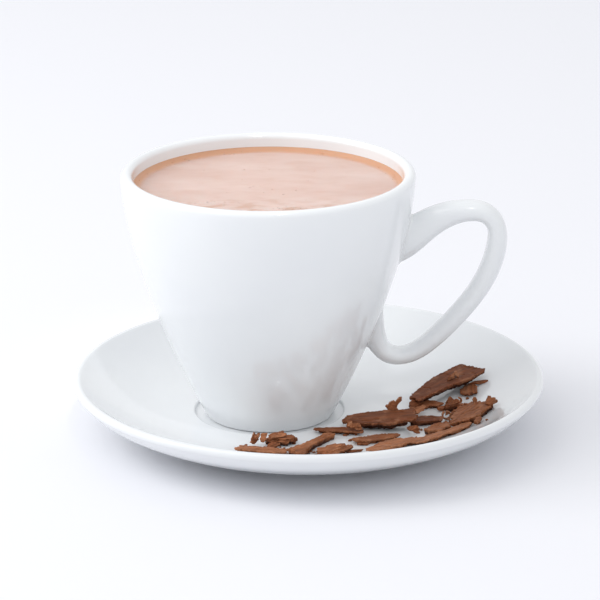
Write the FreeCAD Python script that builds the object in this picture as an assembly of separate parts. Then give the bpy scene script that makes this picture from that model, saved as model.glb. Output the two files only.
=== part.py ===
"""Hot chocolate in a porcelain cup, on its saucer, with broken flakes of milk chocolate beside it.

Millimetres, +Z up. The origin is the centre of the saucer's foot ring, on the table.
+X points from the cup's axis to its handle. The saucer's well lies off its centre, so the cup
stands to one side and leaves room for the chocolate.

Nodes: saucer, cup (body and handle are one fired piece), hot_chocolate, and flake_01 onwards.
"""
import FreeCAD
import Part

import math
import os
import random
from FreeCAD import Vector

# ---- driving dimensions -------------------------------------------------------------------
SAUCER_RADIUS = 76.0        # to the outside of the lip
SAUCER_HEIGHT = 18.0        # table to the top of the lip
SAUCER_FLOOR_RADIUS = 38.5  # flat part of the upper face
SAUCER_FLOOR_HEIGHT = 5.8   # table to the upper face
SAUCER_THICKNESS = 3.9      # of the plate, away from the lip
SAUCER_LIP_RADIUS = 1.4     # the lip is fully rounded
SAUCER_FOOT_RADIUS = 41.0   # outside of the foot ring
SAUCER_FOOT_WIDTH = 3.6     # of the face that stands on the table
SAUCER_FOOT_TAPER = 0.8     # the ring is this much wider where it leaves the plate, each side

CUP_OFFSET = 12.7           # cup's axis to saucer's axis, along -X
WELL_CLEARANCE = 3.6        # well's wall to the cup's foot
WELL_DEPTH = 1.0
WELL_EDGE_RADIUS = 0.7

CUP_HEIGHT = 81.5           # foot to the top of the lip
CUP_RIM_RADIUS = 47.0
CUP_BASE_STEP = 0.6         # the body is this much wider than the foot where it meets it
CUP_FLARE = 1.55            # how soon the body widens: 1 is a straight cone
CUP_WALL = 3.8              # the lip is fully rounded, so this is its thickness too
CUP_BASE_THICKNESS = 5.0    # under the drink, over the foot's hollow
CUP_FOOT_RADIUS = 20.0
CUP_FOOT_WIDTH = 2.8
CUP_FOOT_HOLLOW = 1.4       # depth of the hollow inside the foot
CUP_EDGE_RADIUS = 0.5       # at the foot's corners
CUP_INNER_CORNER = 9.0      # radius between the inner wall and the bottom

FILL_DEPTH = 4.3            # lip's top to the drink

HANDLE_THICKNESS = 6.3      # of the bar, seen from the side
HANDLE_WIDTH = 9.4          # of the bar, across
HANDLE_SPREAD = 2.0         # how much wider the bar is at the very wall, each side
HANDLE_SPREAD_LENGTH = 1.8  # length over which it spreads
# The bar from its upper root to its lower one. Each row: how far its middle is from the body's
# wall (less than 0 is inside it), its height as a share of the cup's, its thickness as a
# multiple of HANDLE_THICKNESS, and the angle of the line from its inner to its outer side.
HANDLE_STATIONS = [
    (-2.7, 0.700, 2.65, 77),
    (0.0, 0.717, 2.48, 78),
    (2.7, 0.735, 2.34, 83),
    (5.2, 0.762, 2.00, 89),
    (8.5, 0.796, 1.55, 94),
    (11.7, 0.817, 1.33, 95),
    (14.7, 0.829, 1.16, 93),
    (17.9, 0.835, 1.06, 89),
    (21.7, 0.834, 1.02, 81),
    (24.9, 0.818, 1.00, 65),
    (28.1, 0.779, 1.05, 38),
    (29.9, 0.717, 1.10, 8),
    (30.4, 0.630, 1.08, -13),
    (29.6, 0.549, 1.04, -28),
    (28.1, 0.481, 0.98, -36),
    (24.6, 0.384, 0.97, -43),
    (20.3, 0.294, 0.91, -50),
    (17.0, 0.250, 0.87, -65),
    (13.3, 0.233, 0.85, -85),
    (9.8, 0.235, 0.89, -104),
    (6.5, 0.254, 0.97, -120),
    (3.6, 0.289, 1.17, -128),
    (0.8, 0.333, 1.52, -130),
    (-1.7, 0.383, 1.83, -130),
    (-4.7, 0.444, 1.97, -127),
]

CONTACT_GAP = 0.05          # a flake lies this far above what carries it

# ---- what follows from them ---------------------------------------------------------------
WELL_FLOOR = SAUCER_FLOOR_HEIGHT - WELL_DEPTH
WELL_RADIUS = CUP_FOOT_RADIUS + CUP_EDGE_RADIUS + WELL_CLEARANCE
CUP_BASE_RADIUS = CUP_FOOT_RADIUS + CUP_BASE_STEP
CUP_TOP = WELL_FLOOR + CUP_HEIGHT
DRINK_LEVEL = CUP_TOP - FILL_DEPTH
CUP_AXIS = Vector(-CUP_OFFSET, 0, 0)
PLATE_UNDERSIDE = SAUCER_FLOOR_HEIGHT - SAUCER_THICKNESS


# ---- helpers ------------------------------------------------------------------------------
def curve(points, start=None, end=None):
    """A smooth edge through (radius, height) points, with optional end directions."""
    spline = Part.BSplineCurve()
    given = [Vector(r, 0, z) for r, z in points]
    if start is None:
        spline.interpolate(Points=given)
    else:
        spline.interpolate(Points=given, InitialTangent=Vector(start[0], 0, start[1]),
                           FinalTangent=Vector(end[0], 0, end[1]))
    return spline.toShape()


def line(a, b):
    return Part.makeLine(Vector(a[0], 0, a[1]), Vector(b[0], 0, b[1]))


def arc(a, middle, b):
    return Part.Arc(*[Vector(r, 0, z) for r, z in (a, middle, b)]).toShape()


def turned(edges):
    """The solid that a closed profile of edges makes when it turns about Z, its seam at -X."""
    face = Part.Face(Part.Wire(edges))
    face.rotate(Vector(0, 0, 0), Vector(0, 0, 1), 180)
    solid = face.revolve(Vector(0, 0, 0), Vector(0, 0, 1), 360)
    return Part.Solid(solid.Shells[0])


# ---- saucer -------------------------------------------------------------------------------
def plate_arc():
    """The arc that lifts the upper face from the floor to the lip: centre height, radius, slope."""
    run = SAUCER_RADIUS - SAUCER_LIP_RADIUS - SAUCER_FLOOR_RADIUS
    rise = SAUCER_HEIGHT - SAUCER_LIP_RADIUS - SAUCER_FLOOR_HEIGHT
    radius = (run ** 2 + rise ** 2 - SAUCER_LIP_RADIUS ** 2) / (2 * (rise + SAUCER_LIP_RADIUS))
    return SAUCER_FLOOR_HEIGHT + radius, radius, math.asin(run / (radius + SAUCER_LIP_RADIUS))


def saucer_surface(r):
    """Height of the saucer's upper face at distance r from its axis, away from the well."""
    centre, radius, slope = plate_arc()
    run = min(max(r - SAUCER_FLOOR_RADIUS, 0), radius * math.sin(slope))
    return centre - math.sqrt(radius ** 2 - run ** 2)


def saucer():
    """A plate turned about Z, with a rounded lip and a foot ring, and a well cut off its centre."""
    centre, radius, slope = plate_arc()

    def on_arc(size, angle):
        return (SAUCER_FLOOR_RADIUS + size * math.sin(angle), centre - size * math.cos(angle))

    def on_lip(angle):
        return (SAUCER_RADIUS - SAUCER_LIP_RADIUS * (1 - math.cos(angle)),
                SAUCER_HEIGHT - SAUCER_LIP_RADIUS * (1 - math.sin(angle)))

    lip_start = slope + math.pi / 2
    lip_end = math.radians(-40)
    under = radius + SAUCER_THICKNESS
    foot_angle = math.asin((SAUCER_FOOT_RADIUS + SAUCER_FOOT_TAPER - SAUCER_FLOOR_RADIUS) / under)
    below = [on_arc(under, foot_angle + share * (slope * 0.8 - foot_angle))
             for share in (0, 0.35, 0.7, 1)]
    foot_in = SAUCER_FOOT_RADIUS - SAUCER_FOOT_WIDTH
    body = turned([
        line((0, SAUCER_FLOOR_HEIGHT), (SAUCER_FLOOR_RADIUS, SAUCER_FLOOR_HEIGHT)),
        arc(on_arc(radius, 0), on_arc(radius, slope / 2), on_arc(radius, slope)),
        arc(on_arc(radius, slope), on_lip((lip_start + lip_end) / 2), on_lip(lip_end)),
        curve([on_lip(lip_end)] + below[::-1],
              start=(math.sin(lip_end), -math.cos(lip_end)),
              end=(-math.cos(foot_angle), -math.sin(foot_angle))),
        line(below[0], (SAUCER_FOOT_RADIUS, 0)),
        line((SAUCER_FOOT_RADIUS, 0), (foot_in, 0)),
        line((foot_in, 0), (foot_in - SAUCER_FOOT_TAPER, PLATE_UNDERSIDE)),
        line((foot_in - SAUCER_FOOT_TAPER, PLATE_UNDERSIDE), (0, PLATE_UNDERSIDE)),
        line((0, PLATE_UNDERSIDE), (0, SAUCER_FLOOR_HEIGHT)),
    ])
    return body.cut(well_cutter()).Solids[0]


def well_cutter():
    """The shallow round well that the cup stands in, with its upper edge rounded over."""
    top = SAUCER_FLOOR_HEIGHT
    outer = WELL_RADIUS + WELL_EDGE_RADIUS
    turn = WELL_EDGE_RADIUS * math.sqrt(0.5)
    return turned([
        line((0, WELL_FLOOR), (WELL_RADIUS, WELL_FLOOR)),
        line((WELL_RADIUS, WELL_FLOOR), (WELL_RADIUS, top - WELL_EDGE_RADIUS)),
        arc((WELL_RADIUS, top - WELL_EDGE_RADIUS), (outer - turn, top - WELL_EDGE_RADIUS + turn),
            (outer, top)),
        line((outer, top), (outer, top + 1)),
        line((outer, top + 1), (0, top + 1)),
        line((0, top + 1), (0, WELL_FLOOR)),
    ]).translated(CUP_AXIS)


# ---- cup ----------------------------------------------------------------------------------
def body_radius(height):
    """Outer radius of the cup's body at a height above its foot."""
    share = min(max(height / (CUP_HEIGHT - CUP_WALL / 2), 0), 1)
    return CUP_BASE_RADIUS + (CUP_RIM_RADIUS - CUP_BASE_RADIUS) * (1 - (1 - share) ** CUP_FLARE)


def wall_points(inset, low, high, count=9):
    """Points up the body's wall, inset from its outer face along the wall's normal."""
    points = []
    step = 0.01
    for i in range(count):
        height = low + (high - low) * i / (count - 1)
        slope = (body_radius(height + step) - body_radius(height - step)) / (2 * step)
        lean = math.atan(slope)
        points.append((body_radius(height) - inset * math.cos(lean),
                       height + inset * math.sin(lean)))
    return points


def inner_profile():
    """Edges of the cup's inside, from its axis along the bottom and up to the lip's inner side."""
    bottom = CUP_FOOT_HOLLOW + CUP_BASE_THICKNESS
    side = wall_points(CUP_WALL, bottom + CUP_INNER_CORNER * 0.45, CUP_HEIGHT - CUP_WALL / 2)
    flat = (side[0][0] - CUP_INNER_CORNER, bottom)
    rise = (side[1][0] - side[0][0], side[1][1] - side[0][1])
    return [line((0, bottom), flat),
            curve([flat, side[0]], start=(1, 0), end=rise),
            curve(side, start=rise, end=(0, 1))]


def cup_outside():
    """The cup as if solid: base, flared body and rounded lip, without the handle."""
    edge = CUP_EDGE_RADIUS
    lip = CUP_WALL / 2
    foot_in = CUP_FOOT_RADIUS - CUP_FOOT_WIDTH
    side = wall_points(0, 2 * edge, CUP_HEIGHT - lip)
    rise = (side[1][0] - side[0][0], side[1][1] - side[0][1])
    lip_in = inner_profile()[-1].Vertexes[-1].Point
    return [
        line((0, CUP_FOOT_HOLLOW), (foot_in - edge, CUP_FOOT_HOLLOW)),
        line((foot_in - edge, CUP_FOOT_HOLLOW), (foot_in, 0)),
        line((foot_in, 0), (CUP_FOOT_RADIUS, 0)),
        curve([(CUP_FOOT_RADIUS, 0), side[0]], start=(1, 0), end=rise),
        curve(side, start=rise, end=(0, 1)),
        arc(side[-1], (CUP_RIM_RADIUS - lip, CUP_HEIGHT), (lip_in.x, lip_in.z)),
    ]


def handle():
    """A bar of oval section through its stations; its ends spread into the wall."""
    rings = []
    for out, share, thick, angle in HANDLE_STATIONS:
        height = share * CUP_HEIGHT
        centre = Vector(body_radius(height) + out, 0, height)
        outward = Vector(math.cos(math.radians(angle)), 0, math.sin(math.radians(angle)))
        spread = 2 * HANDLE_SPREAD * math.exp(-max(out, 0) / HANDLE_SPREAD_LENGTH)
        rings.append(oval(centre, outward, HANDLE_THICKNESS * thick, HANDLE_WIDTH + spread))
    return skinned(rings)


def oval(centre, outward, thickness, width, corners=16):
    """Control points round an oval a little squarer than an ellipse."""
    square = 0.88
    swell = 3 / (2 + math.cos(2 * math.pi / corners))
    points = []
    for i in range(corners):
        angle = 2 * math.pi * i / corners
        c, s = math.cos(angle), math.sin(angle)
        points.append(centre
                      + outward * (swell * thickness / 2 * math.copysign(abs(c) ** square, c))
                      + Vector(0, swell * width / 2 * math.copysign(abs(s) ** square, s), 0))
    return points


def skinned(rings):
    """A solid inside one smooth cubic surface over rings of control points, with flat ends."""
    count, corners = len(rings), len(rings[0])
    spans = count - 3
    surface = Part.BSplineSurface()
    surface.buildFromPolesMultsKnots(
        rings, [4] + [1] * (spans - 1) + [4], [1] * (corners + 1),
        [float(i) for i in range(spans + 1)], [float(i) for i in range(corners + 1)],
        False, True, 3, 3)
    ends = [Part.Face(Part.Wire(surface.uIso(u).toShape())) for u in (0, spans)]
    shell = Part.makeShell([surface.toShape()] + ends)
    shell.sewShape()
    solid = Part.Solid(shell)
    if solid.Volume < 0:
        solid.reverse()
    return solid


def cup():
    """Body and handle joined into one solid, then hollowed."""
    inside = inner_profile()
    bottom, lip_in = inside[0].Vertexes[0].Point, inside[-1].Vertexes[-1].Point
    outside = cup_outside()
    base = outside[0].Vertexes[0].Point
    solid = turned(outside + [line((lip_in.x, lip_in.z), (0, lip_in.z)),
                              line((0, lip_in.z), (0, base.z))])
    cavity = turned(inside + [line((lip_in.x, lip_in.z), (lip_in.x, CUP_HEIGHT + 1)),
                              line((lip_in.x, CUP_HEIGHT + 1), (0, CUP_HEIGHT + 1)),
                              line((0, CUP_HEIGHT + 1), (0, bottom.z))])
    whole = solid.fuse(handle()).cut(cavity).Solids[0]
    return whole.translated(CUP_AXIS + Vector(0, 0, WELL_FLOOR))


# ---- drink --------------------------------------------------------------------------------
def hot_chocolate():
    """The drink fills the cup to its level, wall to wall."""
    bottom, corner, side = inner_profile()
    level = DRINK_LEVEL - WELL_FLOOR
    full = turned([bottom, corner, side,
                   line((side.Vertexes[-1].X, side.Vertexes[-1].Z), (0, side.Vertexes[-1].Z)),
                   line((0, side.Vertexes[-1].Z), (0, bottom.Vertexes[0].Z))])
    above = Part.makeCylinder(CUP_RIM_RADIUS, CUP_HEIGHT, Vector(0, 0, level))
    return full.cut(above).Solids[0].translated(CUP_AXIS + Vector(0, 0, WELL_FLOOR))


# ---- chocolate flakes ---------------------------------------------------------------------
# Each is a broken piece of a thin sheet. at: its middle, seen from above. heading: where its far
# end points, in degrees from +X. widths: near its near end, at its middle and near its far end.
# bow: how far the ends bend to the left of the middle. rise: how many degrees the far end is
# raised beyond the saucer's own slope.
FLAKES = [
    # a slat, and the broad flake propped on it
    dict(at=(36.9, -15.3), heading=6, length=12.0, widths=(2.3, 4.7, 2.9), bow=-0.1,
         thickness=1.7),
    dict(at=(22.7, -17.4), heading=-5, length=22.6, widths=(5.3, 9.8, 8.8), bow=0.6,
         thickness=2.1, rise=4.6),
    # two chips, and the long flake that lies across them
    dict(at=(38.1, 0.8), heading=16, length=11.0, widths=(3.2, 5.3, 2.6), bow=-0.9,
         thickness=1.3),
    dict(at=(52.3, 8.7), heading=93, length=8.8, widths=(3.9, 5.8, 4.1), bow=-0.6,
         thickness=1.2),
    dict(at=(43.4, 10.6), heading=46, length=28.5, widths=(4.5, 9.5, 10.7), bow=-0.8,
         thickness=2.3),
    # the flake that leans on the saucer's rising wall, and the lumps before it
    dict(at=(51.3, -15.1), heading=58, length=16.9, widths=(5.7, 10.2, 8.1), bow=-0.9,
         thickness=2.0),
    dict(at=(47.0, -4.2), heading=-20, length=5.6, widths=(2.8, 4.5, 1.9), bow=-0.1,
         thickness=2.2),
    dict(at=(41.4, -25.6), heading=41, length=8.4, widths=(3.1, 5.0, 3.3), bow=0.9,
         thickness=1.8),
    # splinters along the front
    dict(at=(9.8, -23.1), heading=-3, length=15.6, widths=(2.0, 3.9, 3.7), bow=-0.1,
         thickness=1.4),
    dict(at=(21.2, -30.4), heading=18, length=14.8, widths=(2.0, 3.5, 1.8), bow=0.1,
         thickness=1.3),
    dict(at=(26.3, -37.5), heading=32, length=17.8, widths=(3.7, 5.8, 2.8), bow=-0.5,
         thickness=1.4),
    dict(at=(38.1, -35.3), heading=41, length=12.2, widths=(2.1, 3.8, 2.1), bow=0.0,
         thickness=1.5),
    dict(at=(47.3, -28.4), heading=40, length=8.9, widths=(2.7, 3.1, 2.0), bow=0.0,
         thickness=1.3),
    dict(at=(1.2, -36.4), heading=58, length=22.2, widths=(4.4, 2.3, 2.3), bow=-0.2,
         thickness=1.8),
    # lumps at the front and on the left
    dict(at=(7.3, -42.1), heading=33, length=11.4, widths=(4.1, 7.5, 3.7), bow=0.4,
         thickness=2.0),
    dict(at=(-15.0, -42.9), heading=-9, length=15.0, widths=(4.9, 6.0, 5.1), bow=0.3,
         thickness=1.6),
    dict(at=(-9.2, -31.6), heading=4, length=9.5, widths=(3.3, 6.2, 1.9), bow=-1.0,
         thickness=2.6),
]


def outline(length, widths, bow, rng):
    """Corners of a long, uneven, broken shape about the origin, its length along X."""
    near, middle, far = widths
    front, back = [], []
    for share in (-1.0, -0.65, -0.2, 0.25, 0.7, 1.0):
        wide = (middle + (far - near) / 1.6 * share
                + ((near + far) / 2 - middle) / 0.64 * share ** 2)
        wide = max(wide, 0.3 * middle)
        spine = bow / 0.64 * share ** 2
        for side, corners in ((-1, front), (1, back)):
            along = length / 2 * share + rng.uniform(-0.12, 0.12) * wide
            corners.append((along, spine + side * wide / 2 * rng.uniform(0.88, 1.1)))
    return front + back[::-1]


def flake(at, heading, length, widths, bow, thickness, rise=0, seed=0):
    """A shard lying along the saucer's slope, high above it: a flat underside, a wedge-shaped
    and smaller top, and facets between that slope unevenly, as a break does."""
    rng = random.Random(seed)
    turn = math.radians(heading)
    along = (math.cos(turn), math.sin(turn))
    across = (-along[1], along[0])

    def slope(direction, reach):
        ahead = saucer_surface(math.hypot(at[0] + reach * direction[0],
                                          at[1] + reach * direction[1]))
        behind = saucer_surface(math.hypot(at[0] - reach * direction[0],
                                           at[1] - reach * direction[1]))
        return (ahead - behind) / (2 * reach)

    half = max(widths) / 2
    pitch = slope(along, length / 2) + math.tan(math.radians(rise))
    roll = slope(across, half)
    wedge_along = rng.uniform(-0.15, 0.15) * thickness / (length / 2)
    wedge_across = rng.uniform(-0.15, 0.15) * thickness / half
    above = SAUCER_HEIGHT + length * abs(pitch) / 2 + thickness

    def placed(u, v, raised, wedges):
        return Vector(at[0] + u * along[0] + v * across[0], at[1] + u * along[1] + v * across[1],
                      above + raised + (pitch + wedges * wedge_along) * u
                      + (roll + wedges * wedge_across) * v)

    low, high = [], []
    for u, v in outline(length, widths, bow, rng):
        low.append(placed(u, v, 0, 0))
        keep = 1 - thickness * rng.uniform(0.05, 0.35) / math.hypot(u, v)
        high.append(placed(u * keep, v * keep, thickness, 1))
    count = len(low)
    faces = [flat_face(low[::-1]), flat_face(high)]
    for i in range(count):
        j = (i + 1) % count
        faces.append(flat_face([low[i], low[j], high[j]]))
        faces.append(flat_face([low[i], high[j], high[i]]))
    return Part.Solid(Part.Shell(faces))


def flat_face(points):
    return Part.Face(Part.makePolygon(points + [points[0]]))


def lowered(piece, carriers):
    """The piece, moved straight down until it lies CONTACT_GAP above what is under it."""
    def is_below(carrier):
        mine, its = piece.BoundBox, carrier.BoundBox
        return (its.XMin < mine.XMax and its.XMax > mine.XMin
                and its.YMin < mine.YMax and its.YMax > mine.YMin)

    below = [carrier for carrier in carriers if is_below(carrier)]
    for _ in range(200):
        gap = min(piece.distToShape(carrier)[0] for carrier in below)
        if gap < 1.2 * CONTACT_GAP:
            break
        piece.translate(Vector(0, 0, CONTACT_GAP - gap))
    return piece


# ---- build --------------------------------------------------------------------------------
def main():
    os.makedirs("parts", exist_ok=True)
    plate = saucer()
    nodes = {"saucer": plate, "cup": cup(), "hot_chocolate": hot_chocolate()}
    carriers = [plate]
    for number, row in enumerate(FLAKES, start=1):
        solid = flake(seed=number, **row)
        carriers.append(lowered(solid, carriers))
        nodes["flake_%02d" % number] = solid
    for name, solid in nodes.items():
        solid.exportStep(os.path.join("parts", name + ".step"))
        print(name, "valid" if solid.isValid() else "INVALID", solid.ShapeType,
              "solids", len(solid.Solids), "volume cm3 %.2f" % (solid.Volume / 1000))


main()
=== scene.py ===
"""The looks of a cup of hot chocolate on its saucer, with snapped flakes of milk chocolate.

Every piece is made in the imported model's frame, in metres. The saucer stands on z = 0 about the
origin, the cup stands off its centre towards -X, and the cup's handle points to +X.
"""

import math
import random

import bmesh
import bpy
from mathutils import Matrix, Vector, noise


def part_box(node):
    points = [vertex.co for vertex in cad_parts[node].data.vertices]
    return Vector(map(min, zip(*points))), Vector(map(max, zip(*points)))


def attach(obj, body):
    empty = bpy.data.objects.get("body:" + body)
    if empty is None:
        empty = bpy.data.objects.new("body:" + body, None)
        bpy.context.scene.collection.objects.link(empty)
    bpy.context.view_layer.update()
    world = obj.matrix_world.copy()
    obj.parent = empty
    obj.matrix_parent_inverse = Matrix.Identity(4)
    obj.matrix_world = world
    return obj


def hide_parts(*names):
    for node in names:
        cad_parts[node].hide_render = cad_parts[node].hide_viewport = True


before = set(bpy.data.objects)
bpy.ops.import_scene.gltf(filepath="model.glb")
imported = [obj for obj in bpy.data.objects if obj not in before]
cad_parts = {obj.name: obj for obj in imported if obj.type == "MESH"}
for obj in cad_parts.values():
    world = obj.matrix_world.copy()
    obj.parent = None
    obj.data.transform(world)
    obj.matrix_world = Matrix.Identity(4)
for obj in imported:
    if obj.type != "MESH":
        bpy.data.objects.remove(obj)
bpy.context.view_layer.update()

# ==== saucer ===============================================================================
# A pressed porcelain plate with a rounded lip, a foot ring and a shallow well off its centre.
# It is glazed all over but for the face of the foot ring, which is wiped bare before firing.
MM = 0.001
SAUCER_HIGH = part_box("saucer")[1]
SAUCER_RADIUS = SAUCER_HIGH.x
SAUCER_HEIGHT = SAUCER_HIGH.z
SAUCER_FLOOR_RADIUS = 38.5 * MM
SAUCER_FLOOR = 5.8 * MM
PLATE_THICKNESS = 3.9 * MM
LIP_RADIUS = 1.4 * MM
LIP_END = -40                 # degrees; from here the underside runs inward
UNDERSIDE_REACH = 0.8         # how much of the slope the underside follows
SAUCER_FOOT_RADIUS = 41.0 * MM
SAUCER_FOOT_WIDTH = 3.6 * MM
FOOT_TAPER = 0.8 * MM
FOOT_EDGE = 0.6 * MM
CUP_AXIS = Vector((-12.7 * MM, 0, 0))
WELL_FLOOR = 4.8 * MM
WELL_RADIUS = 24.1 * MM
WELL_EDGE = 0.7 * MM
WELL_CORNER = 0.35 * MM
ROUND_STEPS = 240
TOUCHING = 0.001 * MM         # points this close are one


def arc(centre, radius, start, end, count):
    """(r, z) points along an arc; its angles are in degrees, from outward to up."""
    points = []
    for i in range(count + 1):
        angle = math.radians(start + (end - start) * i / count)
        points.append((centre[0] + radius * math.cos(angle), centre[1] + radius * math.sin(angle)))
    return points


def sweep(a, leave, arrive, b, count):
    """(r, z) points of a smooth curve from a to b that leaves and arrives along two directions."""
    reach = math.dist(a, b) * 0.4
    c = (a[0] + leave[0] * reach, a[1] + leave[1] * reach)
    d = (b[0] - arrive[0] * reach, b[1] - arrive[1] * reach)
    points = []
    for i in range(count + 1):
        t = i / count
        weights = ((1 - t) ** 3, 3 * t * (1 - t) ** 2, 3 * t * t * (1 - t), t ** 3)
        points.append(tuple(sum(w * p[k] for w, p in zip(weights, (a, c, d, b)))
                            for k in (0, 1)))
    return points


def turn(bm, profile, axis=Vector()):
    """Spins (r, z) points about an upright axis, into the bmesh."""
    verts = [bm.verts.new((axis.x + r, axis.y, z)) for r, z in profile]
    edges = [bm.edges.new(pair) for pair in zip(verts, verts[1:])]
    bmesh.ops.spin(bm, geom=verts + edges, cent=axis, axis=(0, 0, 1), angle=2 * math.pi,
                   steps=ROUND_STEPS, use_merge=True)


def close_up(bm):
    """Merges what meets and turns every face outwards."""
    bmesh.ops.remove_doubles(bm, verts=bm.verts, dist=TOUCHING)
    bmesh.ops.recalc_face_normals(bm, faces=bm.faces)


def finish_piece(name, bm, material, replaced=()):
    """Makes the bmesh a smooth piece that rides on the body and stands for CAD nodes."""
    mesh = bpy.data.meshes.new(name)
    bm.to_mesh(mesh)
    bm.free()
    mesh.materials.append(material)
    mesh.polygons.foreach_set("use_smooth", [True] * len(mesh.polygons))
    piece = bpy.data.objects.new(name, mesh)
    bpy.context.scene.collection.objects.link(piece)
    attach(piece, "root")
    if replaced:
        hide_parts(*replaced)


def plate_arc():
    """The arc that lifts the plate from its floor to its lip: centre's height, radius, slope."""
    run = SAUCER_RADIUS - LIP_RADIUS - SAUCER_FLOOR_RADIUS
    rise = SAUCER_HEIGHT - LIP_RADIUS - SAUCER_FLOOR
    radius = (run ** 2 + rise ** 2 - LIP_RADIUS ** 2) / (2 * (rise + LIP_RADIUS))
    return SAUCER_FLOOR + radius, radius, math.asin(run / (radius + LIP_RADIUS))


def saucer_surface(x, y):
    """Height of the saucer's upper face at a place away from the well."""
    centre, radius, slope = plate_arc()
    run = min(max(math.hypot(x, y) - SAUCER_FLOOR_RADIUS, 0), radius * math.sin(slope))
    return centre - math.sqrt(radius ** 2 - run ** 2)


def plate_profile():
    """From the edge of the floor out over the lip, then under to the axis."""
    height, radius, slope = plate_arc()
    centre = (SAUCER_FLOOR_RADIUS, height)
    steep = math.degrees(slope)
    lip_centre = (SAUCER_RADIUS - LIP_RADIUS, SAUCER_HEIGHT - LIP_RADIUS)
    under = radius + PLATE_THICKNESS
    foot_out = SAUCER_FOOT_RADIUS + FOOT_TAPER
    foot_angle = math.degrees(math.asin((foot_out - SAUCER_FLOOR_RADIUS) / under))
    underside = arc(centre, under, -90 + steep * UNDERSIDE_REACH, -90 + foot_angle, 30)
    lip = arc(lip_centre, LIP_RADIUS, 90 + steep, LIP_END, 16)
    away = math.radians(LIP_END)
    inward = math.radians(steep * UNDERSIDE_REACH)
    foot_in = SAUCER_FOOT_RADIUS - SAUCER_FOOT_WIDTH
    below = SAUCER_FLOOR - PLATE_THICKNESS
    flat_start = [(SAUCER_FLOOR_RADIUS - 0.2 * MM, SAUCER_FLOOR)]
    return (flat_start + arc(centre, radius, -90, -90 + steep, 48) + lip[1:]
            + sweep(lip[-1], (math.sin(away), -math.cos(away)),
                    (-math.cos(inward), -math.sin(inward)), underside[0], 14)[1:]
            + underside[1:]
            + arc((SAUCER_FOOT_RADIUS - FOOT_EDGE, FOOT_EDGE), FOOT_EDGE, 0, -90, 5)
            + arc((foot_in + FOOT_EDGE, FOOT_EDGE), FOOT_EDGE, -90, -180, 5)
            + sweep((foot_in - FOOT_TAPER / 2, below * 0.7), (0, 1), (-1, 0),
                    (foot_in - 2 * FOOT_TAPER, below), 5)
            + [(foot_in * 0.5, below), (0, below)])


def well_profile():
    """From the middle of the well out over its soft edge to the floor, as if it were central."""
    return ([(0, WELL_FLOOR), (WELL_RADIUS * 0.5, WELL_FLOOR), (WELL_RADIUS * 0.93, WELL_FLOOR)]
            + arc((WELL_RADIUS - WELL_CORNER, WELL_FLOOR + WELL_CORNER), WELL_CORNER, -90, 0, 5)
            + arc((WELL_RADIUS + WELL_EDGE, SAUCER_FLOOR - WELL_EDGE), WELL_EDGE, 180, 90, 8)
            + [(WELL_RADIUS + 1.3 * WELL_EDGE, SAUCER_FLOOR)])


def add_node(tree, kind, inputs=None, **settings):
    """A shader node with its settings; inputs that are sockets are linked, the rest are set."""
    made = tree.nodes.new(kind)
    for key, value in settings.items():
        setattr(made, key, value)
    for key, value in (inputs or {}).items():
        if isinstance(value, bpy.types.NodeSocket):
            tree.links.new(value, made.inputs[key])
        else:
            made.inputs[key].default_value = value
    return made


def colour_ramp(tree, factor, stops):
    """A ramp's colour output; stops are (place, colour)."""
    made = add_node(tree, "ShaderNodeValToRGB", {"Fac": factor})
    ramp = made.color_ramp
    while len(ramp.elements) < len(stops):
        ramp.elements.new(0.5)
    for element, (place, colour) in zip(ramp.elements, stops):
        element.position = place
        element.color = (*colour, 1)
    return made.outputs["Color"]


def new_material(name, **constants):
    """A material and its shader; constants go straight on the shader's sockets."""
    material = bpy.data.materials.new(name)
    material.use_nodes = True
    tree = material.node_tree
    shader = tree.nodes["Principled BSDF"]
    for key, value in constants.items():
        shader.inputs[key.replace("_", " ")].default_value = value
    return material, tree, shader


def link(tree, output, socket):
    tree.links.new(output, socket)


def share_between(tree, value, low, high):
    """How far a value lies from low to high, from 0 to 1, with a soft start and end."""
    made = add_node(tree, "ShaderNodeMapRange",
                    {"Value": value, "From Min": low, "From Max": high},
                    interpolation_type="SMOOTHSTEP")
    return made.outputs["Result"]


def mixed(tree, factor, a, b):
    made = add_node(tree, "ShaderNodeMix", data_type="RGBA")
    link(tree, factor, made.inputs["Factor"])
    for value, socket in ((a, made.inputs[6]), (b, made.inputs[7])):
        if isinstance(value, bpy.types.NodeSocket):
            link(tree, value, socket)
        else:
            socket.default_value = (*value, 1)
    return made.outputs[2]


def calculated(tree, operation, a, b):
    made = add_node(tree, "ShaderNodeMath", {0: a, 1: b}, operation=operation)
    return made.outputs["Value"]


GLAZE_LIGHT = (0.83, 0.85, 0.862)
GLAZE_DEEP = (0.805, 0.825, 0.845)
BISCUIT = (0.72, 0.68, 0.62)
GLAZE_RAGGED = 0.5 * MM       # how far the edge of the glaze wanders
GLAZE_BARE = 0.2 * MM         # bare up to here above the foot
GLAZE_FULL = 0.4 * MM         # fully glazed from here up
GLAZE_WAVE = 0.05 * MM


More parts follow.
